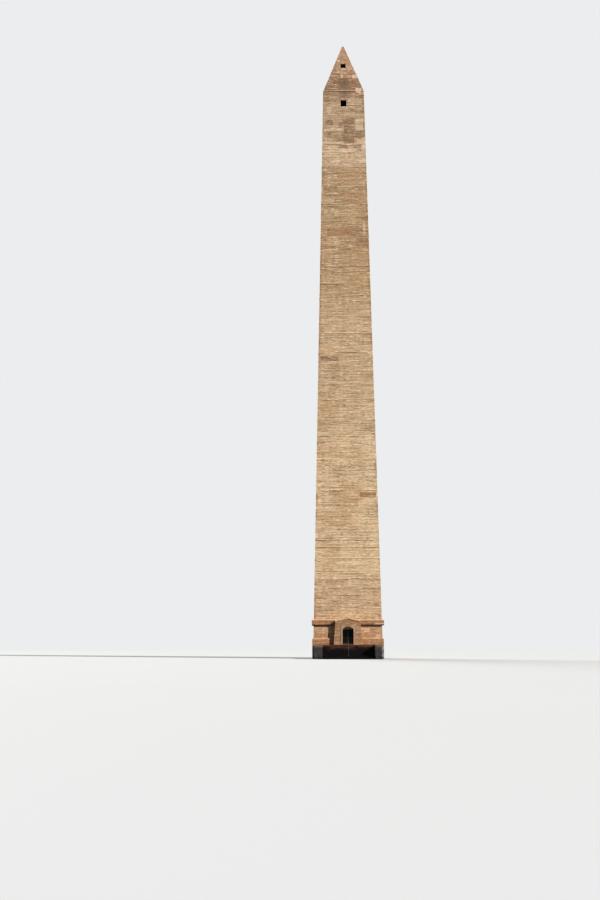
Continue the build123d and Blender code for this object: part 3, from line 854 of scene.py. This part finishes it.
def cast_wall(name, side, bottom, top, finish, node, window=None, cells=22, seam=None):
    """One wall with its board marks, open at its window, and set back at an open seam on top."""
    chance = random.Random(name)
    rows = [(bottom, int(bottom / BOARD))]
    for board in range(int(bottom / BOARD), int(top / BOARD) + 1):
        for level in (board * BOARD + BOARD_EDGE, (board + 1) * BOARD - BOARD_EDGE):
            if bottom + 0.001 < level < top - 0.001:
                rows.append((level, board))
    if seam:
        foot, depth = seam
        rows = [row for row in rows if row[0] < foot - 0.001]
        rows += [(foot - 0.0005, rows[-1][1]), (foot, rows[-1][1])]
    rows.append((top, rows[-1][1]))
    if window:
        half_width, sill, head = window
        rows = [r for r in rows if min(abs(r[0] - sill), abs(r[0] - head)) > 0.0008]
        rows = sorted(rows + [(sill, int(sill / BOARD)), (head, int(head / BOARD))])
    else:
        half_width = 0.0
    steps = [index / cells for index in range(cells + 1)]
    straight = [bottom, top] + list(window[1:] if window else ()) + [seam[0] if seam else top]
    losses, lift_set = {}, {}
    verts, ring = [], 2 * len(steps) + 4
    for level, board in rows:
        if board not in losses:
            # Along a row the boards gave way a little, and here and there two of them butt
            depths, left = [], 0
            for column in range(2 * len(steps)):
                if left == 0:
                    left, step_in = chance.randint(6, 20), chance.uniform(0.0, 0.0005)
                bulge = noise.noise(Vector((column * 0.4, board * 1.7, side * 9.0 + 0.5)))
                depths.append(0.0010 + BULGE * bulge + step_in)
                left -= 1
            losses[board] = depths
        joint = round(level / BOARD) * BOARD
        strays = ROW_STRAY if min(abs(joint - stop) for stop in straight) > 0.012 else 0.0
        lift = int((level - FIRST_LIFT) / LIFT)
        lift_set.setdefault(lift, chance.uniform(0.0, LIFT_STEP))
        half, room = wall_half(level), room_half(level)
        groove = depth if seam and level >= foot else 0.0
        for column in range(2 * len(steps)):
            on_right = column >= len(steps)
            if on_right:
                along = half_width + (half - half_width) * steps[column - len(steps)]
            else:
                along = -half + (half - half_width) * steps[column]
            if column in (0, 2 * len(steps) - 1):
                corner = side if on_right else (side - 1) % 4
                loss = corner_loss(corner, round(level / BOARD)) + groove
                along += -loss if on_right else loss
                out = half - loss
            else:
                out = half - losses[board][column] - lift_set[lift] - chance.uniform(0.0, 0.0004)
                out -= groove * chance.uniform(0.7, 1.0)
            if along == 0.0 and on_right:
                verts.append(verts[-1])
            else:
                stray = strays * noise.noise(Vector((along * 6.0, joint * 31.0, side * 9.0 + 0.5)))
                stray *= min(1.0, (half - abs(along)) / 0.06) if abs(along) < half - 0.004 else 0.0
                verts.append(on_side(side, along, out, level + stray))
        for along in (room, half_width, -half_width, -room):
            verts.append(on_side(side, along, room, level))
    faces = []
    last_left, first_right = len(steps) - 1, len(steps)
    end = 2 * len(steps)
    for row in range(len(rows) - 1):
        low, high = row * ring, (row + 1) * ring
        opened = window and sill <= rows[row][0] and rows[row + 1][0] <= head
        for column in range(ring):
            following = (column + 1) % ring
            if (opened or not half_width) and column in (last_left, end + 1):
                continue
            faces.append((low + column, low + following, high + following, high + column))
        if opened:
            faces.append((low + last_left, low + end + 2, high + end + 2, high + last_left))
            faces.append((low + first_right, low + end + 1, high + end + 1, high + first_right))
            for level, base in ((sill, low), (head, high)):
                if abs(rows[base // ring][0] - level) < 1e-9:
                    faces.append(
                        (base + last_left, base + first_right, base + end + 1, base + end + 2)
                    )
    for base in (0, (len(rows) - 1) * ring):
        faces.append(tuple(base + column for column in range(ring)))
    outline = bpy.data.meshes.new("outline")
    outline.from_pydata(verts, [], faces)
    shape = bmesh.new()
    shape.from_mesh(outline)
    bpy.data.meshes.remove(outline)
    stand(name, shape, finish, node=node)


shaft_finish = cast_concrete(
    "shaft_concrete",
    [
        (0, 0, 200, 165, 129),
        (0.9, 1.6, 216, 185, 146),
        (3.0, 4.2, 198, 167, 130),
        (5.4, 6.2, 185, 152, 115),
        (6.9, 7.3, 184, 153, 117),
    ],
    corners=True, shaded_inside=(HALF_AT_GROUND, BATTER),
)
SEAM_FOOT, SEAM_DEPTH = SHAFT_TOP - 0.014, 0.007
upper_finish = cast_concrete(
    "upper_stage_concrete",
    [(0, 0, 205, 176, 143), (8.62, 8.78, 178, 149, 117), (9.3, 9.6, 166, 133, 104)],
    patchwork=0.20, shaded_inside=(HALF_AT_GROUND, BATTER),
    run_off=(9.72, 9.62, 9.48, 0.10), shaded_seam=SEAM_FOOT,
)
SHAFT_WINDOW = (0.050, 9.331, 9.448)
for side, facing in enumerate(SIDES):
    cast_wall(
        "%s_shaft_wall" % facing, side, SHAFT_FOOT, COLD_JOINT, shaft_finish,
        "shaft_%s_lower" % facing,
    )
    cast_wall(
        "%s_top_stage_wall" % facing, side, COLD_JOINT, SHAFT_TOP, upper_finish,
        "shaft_%s_upper" % facing, SHAFT_WINDOW, cells=14, seam=(SEAM_FOOT, SEAM_DEPTH),
    )


# Pyramid. Four leaning slabs with a small window each, cast over the viewing room and closed
# by a solid cap of the same concrete, whose tip the weather has worn blunt.
pyramid_finish = cast_concrete(
    "pyramid_concrete",
    [
        (0, 0, 188, 156, 125),
        (9.630, 9.646, 136, 105, 80),
        (9.85, 10.0, 166, 133, 103),
        (10.3, 10.45, 174, 137, 110),
    ],
    uneven=0.9, lifts=0.8, mottled=0.5, patchwork=0.08, ragged=0.012,
    shaded_inside=(HALF_AT_TOP + PYRAMID_BATTER * SHAFT_TOP, PYRAMID_BATTER),
    run_off=(9.96, 9.72, 9.60, 0.14),
)
PYRAMID_WINDOW = (0.0443, 10.155, 10.248)
CAP_FOOT, BLUNT_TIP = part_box("capstone")[0].z, 10.664
for side, facing in enumerate(SIDES):
    cast_wall(
        "%s_pyramid_slab" % facing, side, SHAFT_TOP, CAP_FOOT, pyramid_finish,
        "pyramid_%s" % facing, PYRAMID_WINDOW, cells=9,
    )
cap = shape_of("capstone")
cut(cap, 2, BLUNT_TIP, clear_outer=True)
bmesh.ops.holes_fill(cap, edges=[edge for edge in cap.edges if edge.is_boundary])
cap = weathered(cap, 0.0016, cell=0.016, chips=0.8, boards=0.5)
stand("blunt_capstone", cap, pyramid_finish, node="capstone")


# Pour ridges. Where one lift was cast on the next, grout ran out over the boards and set as
# thin broken ridges of lime along the joint, which catch the light; their pale colour is partly
# the lime and partly a painted highlight.
ridge_finish = cast_concrete(
    "lime_ridges", [(0, 0, 214, 184, 148), (6.0, 7.5, 204, 174, 140)],
    lifts=0.0, boards=0.0,
)
# How deep a thin piece is rooted in the wall, and between which heights the ridges are
ROOT, OVER_GABLE, TOP_RIDGE = -0.005, 0.66, 10.40
RIDGE_LENGTHS, RIDGE_DEPTHS, RIDGE_GAPS = (0.025, 0.26), (0.002, 0.005), (0.006, 0.10)


def pour_ridges(name, side, bottom, top, window):
    """The ridges of one stage of one side, on its pour joints and, sparser, halfway between."""
    chance, shape = random.Random(name), bmesh.new()
    turn = math.radians(90 * side)
    shift = side_shift(round(math.sin(turn)), -round(math.cos(turn)))
    first, last = (int((level - FIRST_LIFT) / LIFT) for level in (bottom, top))
    for number in range(2 * first, 2 * last + 3):
        level = joint_level(number / 2, math.sin)
        if not bottom + 0.01 < level < top - 0.01:
            continue
        reach = wall_half(level) - 0.002
        along = -reach + chance.uniform(0.0, 0.06)
        kept = chance.uniform(0.25, 0.75) if number % 2 == 0 else chance.uniform(0.0, 0.45)
        while along < reach - 0.02:
            run = min(chance.uniform(*RIDGE_LENGTHS), reach - along)
            clear = not (window and abs(level - (window[1] + window[2]) / 2) < 0.075)
            clear = clear or along > window[0] + 0.006 or along + run < -window[0] - 0.006
            if chance.random() < kept and clear:
                sections = max(3, int(run / 0.013))
                thick = chance.uniform(*RIDGE_DEPTHS)
                rings = []
                for section in range(sections + 1):
                    swell = max(0.0, math.sin(math.pi * section / sections)) ** 0.4
                    swell *= chance.uniform(0.5, 1.0)
                    at = along + run * section / sections
                    across = at * (math.cos(turn) + math.sin(turn)) + shift
                    middle = level - joint_wander(across, level, math.sin)
                    middle += chance.uniform(-0.0008, 0.0008)
                    ring = []
                    for out, up in ((ROOT, -1.0), (0.0004 + 0.0022 * swell, -0.1), (ROOT, 1.0)):
                        z = middle + up * (0.0004 + thick * swell)
                        ring.append(shape.verts.new(on_side(side, at, wall_half(z) + out, z)))
                    rings.append(ring)
                skin(shape, rings)
                shape.faces.new(rings[0][::-1])
                shape.faces.new(rings[-1])
            along += run + chance.uniform(*RIDGE_GAPS)
    stand(name, shape, ridge_finish)


# Each stage of a side, with its slot, its foot and head, and its window
STAGES = (
    ("shaft", "shaft_concrete", SHAFT_FOOT, COLD_JOINT, None),
    ("top_stage", "upper_concrete", COLD_JOINT, SHAFT_TOP, SHAFT_WINDOW),
    ("pyramid", "pyramid_concrete", SHAFT_TOP, TOP_RIDGE, PYRAMID_WINDOW),
)
for side, facing in enumerate(SIDES):
    for stage, slot, foot, head, window in STAGES:
        foot = max(foot, OVER_GABLE) if side == 0 else foot
        pour_ridges("%s_%s_ridges" % (facing, stage), side, foot, head, window)


# Panels and repairs. Single panels of the formwork left paler or darker squares, and later
# repairs of mortar were trowelled on over spalled places; both lie nearly flush with the wall.
def panel_finish(name, red, green, blue, **marks):
    return cast_concrete(name, [(0, 0, red, green, blue)], lifts=0.4, **marks)


PANEL_FINISHES = {
    "pale": panel_finish("pale_panel", 206, 178, 146, uneven=0.8, boards=0.8),
    "light": panel_finish("light_panel", 190, 160, 130, uneven=0.8, boards=0.8),
    "grey": panel_finish("grey_panel", 157, 127, 99, uneven=1.1),
    "brown": panel_finish("brown_panel", 167, 131, 98, uneven=0.8),
    "yellow": panel_finish("yellow_panel", 193, 163, 122, uneven=1.4, mottled=0.6),
    "tan": panel_finish("tan_panel", 177, 134, 98, uneven=0.6, boards=0.4, mottled=0.4),
    "washed": panel_finish("washed_panel", 218, 177, 138, uneven=0.5, boards=0.4, mottled=0.4),
    "mortar": panel_finish("repair_mortar", 210, 178, 150, uneven=0.6, boards=0.1, mottled=0.4),
}

# On the entrance front: kind, from and to along the wall, from and to in height
FRONT_PANELS = [
    ("mortar", -0.098, -0.054, 10.289, 10.332),
    ("mortar", -0.046, 0.040, 10.098, 10.140),
    ("light", 0.088, 0.146, 10.098, 10.150),
    ("light", -0.140, 0.100, 10.080, 10.090),
    ("light", -0.046, -0.014, 9.915, 10.074),
    ("mortar", 0.150, 0.235, 9.905, 9.998),
    ("mortar", 0.063, 0.150, 9.950, 9.969),
    ("mortar", 0.205, 0.306, 9.622, 9.684),
    ("mortar", 0.205, 0.306, 9.574, 9.6190),
    ("pale", -0.300, -0.210, 9.222, 9.332),
    ("light", 0.222, 0.305, 9.225, 9.296),
    ("light", 0.077, 0.310, 9.340, 9.470),
    ("grey", -0.297, -0.184, 9.000, 9.078),
    ("grey", -0.087, -0.026, 8.936, 9.032),
    ("grey", -0.022, 0.184, 9.010, 9.090),
    ("pale", 0.198, 0.330, 8.870, 9.100),
    ("grey", 0.008, 0.184, 8.812, 9.005),
    ("light", -0.310, -0.095, 8.932, 8.985),
    ("pale", -0.340, -0.010, 8.868, 8.926),
    ("grey", 0.197, 0.308, 8.736, 8.860),
    ("grey", -0.005, 0.185, 8.640, 8.800),
    ("pale", -0.335, -0.012, 8.622, 8.674),
    ("mortar", 0.215, 0.308, 8.624, 8.708),
    ("grey", -0.087, 0.056, 8.556, 8.612),
    ("grey", 0.062, 0.306, 8.588, 8.602),
    ("brown", 0.312, 0.376, 7.229, 7.293),
    ("pale", 0.303, 0.346, 6.961, 7.221),
    ("brown", -0.289, 0.300, 6.962, 7.107),
    ("brown", -0.400, -0.302, 6.874, 6.936),
    ("pale", -0.205, -0.125, 6.902, 6.946),
    ("yellow", -0.225, -0.098, 6.790, 6.896),
    ("light", 0.148, 0.180, 6.880, 6.918),
    ("brown", 0.192, 0.402, 6.745, 6.955),
    ("grey", -0.095, 0.105, 6.706, 6.736),
    ("grey", -0.406, -0.111, 4.780, 4.867),
    ("brown", 0.211, 0.466, 2.528, 2.610),
    ("brown", 0.413, 0.491, 0.809, 0.855),
    ("brown", 0.473, 0.520, 0.640, 0.676),
    ("tan", 0.344, 0.434, 0.346, 0.470),
    ("washed", 0.252, 0.340, 0.408, 0.466),
    ("tan", 0.258, 0.340, 0.322, 0.402),
    ("washed", 0.440, 0.516, 0.326, 0.376),
]


def trowelled_outline(left, right, bottom, top, chance):
    """A rounded, uneven outline, as a patch of mortar has."""
    middle_x, middle_z, seed = (left + right) / 2, (bottom + top) / 2, chance.uniform(0.0, 50.0)
    count = max(28, int((right - left + top - bottom) / 0.006))
    outline = []
    for index in range(count):
        turn = 2 * math.pi * (index + 0.5) / count
        across, up = math.cos(turn), math.sin(turn)
        swell = 1.0 + 0.14 * noise.noise(Vector((2.4 * across + seed, 2.4 * up, 0.5)))
        outline.append(
            (
                middle_x + (right - left) / 2 * math.copysign(abs(across) ** 0.45, across) * swell,
                middle_z + (top - bottom) / 2 * math.copysign(abs(up) ** 0.45, up) * swell,
            )
        )
    return outline


def panel_outline(left, right, bottom, top, chance):
    """A straight outline, a little worn, as a panel of the formwork leaves."""
    worn, outline = 0.0008, []
    corners = [(left, bottom), (right, bottom), (right, top), (left, top)]
    for (x0, z0), (x1, z1) in zip(corners, corners[1:] + corners[:1]):
        count = max(2, int(math.hypot(x1 - x0, z1 - z0) / 0.016))
        for index in range(count):
            share = index / count
            x, z = x0 + (x1 - x0) * share, z0 + (z1 - z0) * share
            outline.append((x + chance.uniform(-worn, worn), z + chance.uniform(-worn, worn)))
    return outline


def plate(shape, side, panel, chance):
    """A thin plate on one side, almost flush with the boards' marks, its edges sloped off."""
    kind, left, right, bottom, top = panel
    draw, feather = (trowelled_outline, 0.0040) if kind == "mortar" else (panel_outline, 0.0012)
    outline = draw(left, right, bottom, top, chance)
    proud = chance.uniform(-0.0003, 0.0003)
    middle_x, middle_z = (left + right) / 2, (bottom + top) / 2
    rings = []
    for out, shrink in ((ROOT, 0.0), (proud - 0.0016, 0.0), (proud, feather)):
        ring = []
        for x, z in outline:
            inward = shrink / max(0.01, math.hypot(middle_x - x, middle_z - z))
            x, z = x + (middle_x - x) * inward, z + (middle_z - z) * inward
            ring.append(shape.verts.new(on_side(side, x, wall_half(z) + out, z)))
        rings.append(ring)
    skin(shape, rings)
    shape.faces.new(rings[-1])
    shape.faces.new(rings[0][::-1])


PANEL_WIDTHS, PANEL_HEIGHTS, PANEL_GAP = (0.05, 0.26), (0.04, 0.13), 0.004


def scattered_panels(side):
    """Panels and repairs of the same kinds for a side that repeats the front."""
    chance = random.Random("panels %d" % side)
    found = []

    def free(left, right, bottom, top):
        """Whether a place is clear of the windows and of the panels there are."""
        level_with_window = bottom < 9.46 and top > 9.32 or top > 10.14
        if level_with_window and right > -0.06 and left < 0.06:
            return False
        return all(
            right < l - PANEL_GAP
            or left > r + PANEL_GAP
            or top < b - PANEL_GAP
            or bottom > t + PANEL_GAP
            for _, l, r, b, t in found
        )

    for bottom, top, tries, kinds in (
        (9.64, 10.10, 12, ("mortar", "light", "grey")),
        (8.60, 9.56, 34, ("pale", "grey", "grey", "light", "mortar")),
        (0.70, 7.90, 24, ("brown", "grey", "light", "brown")),
    ):
        for _ in range(tries):
            width, height = chance.uniform(*PANEL_WIDTHS), chance.uniform(*PANEL_HEIGHTS)
            low = chance.uniform(bottom, top - height)
            reach = wall_half(low + height) - 0.012
            left = chance.uniform(-reach, reach - width)
            if free(left, left + width, low, low + height):
                found.append((chance.choice(kinds), left, left + width, low, low + height))
    return found


for side, facing in enumerate(SIDES):
    panels = FRONT_PANELS if side == 0 else scattered_panels(side)
    for kind, finish in PANEL_FINISHES.items():
        chance, foot = random.Random("%s %s" % (facing, kind)), 0.0
        for stage, slot, _, head, _ in STAGES:
            chosen = [panel for panel in panels if panel[0] == kind and foot <= panel[3] < head]
            foot = head
            if chosen:
                shape = bmesh.new()
                for panel in chosen:
                    plate(shape, side, panel, chance)
                stand("%s_%s_%s_panels" % (facing, stage, kind), shape, finish)

# A pale repair runs along the foot of the cornice at its right front corner
repair, cornice_half = bmesh.new(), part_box("cornice")[1].y
repair_low, repair_high = -cornice_half - 0.0004, -cornice_half + 0.004
add_block(repair, (0.412, repair_low, 0.5235), (0.5590, repair_high, 0.5455), 0.0008)
for vert in repair.verts:
    vert.co.x += 0.004 * noise.noise(vert.co * 30.0) if vert.co.x < 0.5 else 0.0
stand("cornice_repair", repair, PANEL_FINISHES["mortar"])


# Studio. A wide pale floor under pale air, which both throw little light back at the tower. One
# soft lamp stands in front and to the right, and a wider one behind and to the left for the
# other sides.
class Air(Finish):
    """What lies round the tower, mixed as a finish is."""

    def __init__(self, world):
        self.tree = world.node_tree


def looked_at(finish):
    """One where it is looked at, mirrored or seen through glass, and nothing where it lights."""
    rays = ("Is Camera Ray", "Is Glossy Ray", "Is Transmission Ray")
    straight, mirrored, through = (finish.node("LightPath", {}, ray) for ray in rays)
    return straight.most(mirrored).most(through)


FLOOR_RADIUS, FLOOR_FADES = 120.0, (9.0, 26.0)
pale = Finish("studio_floor", 0.95, 0.1)
(px, py, _), _ = pale.place()
near = (abs(px).most(abs(py))).fade(*FLOOR_FADES)
speckle = pale.clouds(px * 0.4, py * 0.4, 2.0)
seen = looked_at(pale)
shown = pale.blend(speckle, tint(201, 201, 200), tint(203, 203, 202))
pale.done(pale.blend(seen, tint(92, 101, 117), shown))
FAR = tint(236, 237, 238)
far_light = pale.node("Emission", {"Color": FAR})
floor_light = {0: near * seen, 1: pale.shader.outputs[0], 2: far_light}
joined = pale.node("MixShader", floor_light)
pale.put(pale.tree.nodes["Material Output"].inputs["Surface"], joined)
floor_mesh = bpy.data.meshes.new("studio_floor")
floor_shape = bmesh.new()
bmesh.ops.create_circle(floor_shape, cap_ends=True, segments=64, radius=FLOOR_RADIUS)
floor_shape.to_mesh(floor_mesh)
floor_shape.free()
floor = bpy.data.objects.new("studio_floor", floor_mesh)
bpy.context.scene.collection.objects.link(floor)
floor_mesh.materials.append(pale.material)

for name, colour, strength, width, azimuth, elevation in (
    ("key_lamp", (1.0, 0.972, 0.925), 5.5, 2.5, 58.0, 30.0),
    ("fill_lamp", (1.0, 1.0, 1.0), 2.6, 40.0, 215.0, 30.0),
):
    lamp = bpy.data.lights.new(name, "SUN")
    lamp.color, lamp.energy = colour, strength
    lamp.angle = math.radians(width)
    holder = bpy.data.objects.new(name, lamp)
    turn, lift = math.radians(azimuth), math.radians(elevation)
    level = math.cos(lift)
    towards = Vector((math.sin(turn) * level, -math.cos(turn) * level, math.sin(lift)))
    holder.rotation_euler = towards.to_track_quat("Z", "Y").to_euler()
    bpy.context.scene.collection.objects.link(holder)

world = bpy.data.worlds.new("studio")
bpy.context.scene.world = world
world.use_nodes = True
air = Air(world)
soft = air.tree.nodes["Background"]
soft.inputs["Color"].default_value = (0.62, 0.80, 1.0, 1.0)
soft.inputs["Strength"].default_value = 0.15
backdrop = air.node("Background", {"Color": FAR})
mixed = air.node("MixShader", {0: looked_at(air), 1: soft.outputs[0], 2: backdrop})
air.put(air.tree.nodes["World Output"].inputs["Surface"], mixed)

bpy.context.scene.view_settings.view_transform = "Standard"

# Camera. At a visitor's height in front of the entrance, a little to the left of its axis and
# looking up, with the focal length in pixels that fits the photograph's outlines.
FILM_HEIGHT, FRAME_HEIGHT, FOCAL_LENGTH = 36.0, 900.0, 1060.0
eye = bpy.data.cameras.new("camera")
eye.sensor_fit = "VERTICAL"
eye.sensor_height = FILM_HEIGHT
eye.lens = FILM_HEIGHT * FOCAL_LENGTH / FRAME_HEIGHT
eye.clip_end = 500.0
camera = bpy.data.objects.new("camera", eye)
camera.location = (-0.2592, -17.2609, 0.2261)
yaw, pitch = math.radians(-1.6641), math.radians(10.3642)
sight = Vector((math.sin(yaw) * math.cos(pitch), math.cos(yaw) * math.cos(pitch), math.sin(pitch)))
camera.rotation_euler = sight.to_track_quat("-Z", "Y").to_euler()
bpy.context.scene.collection.objects.link(camera)
bpy.context.scene.camera = camera
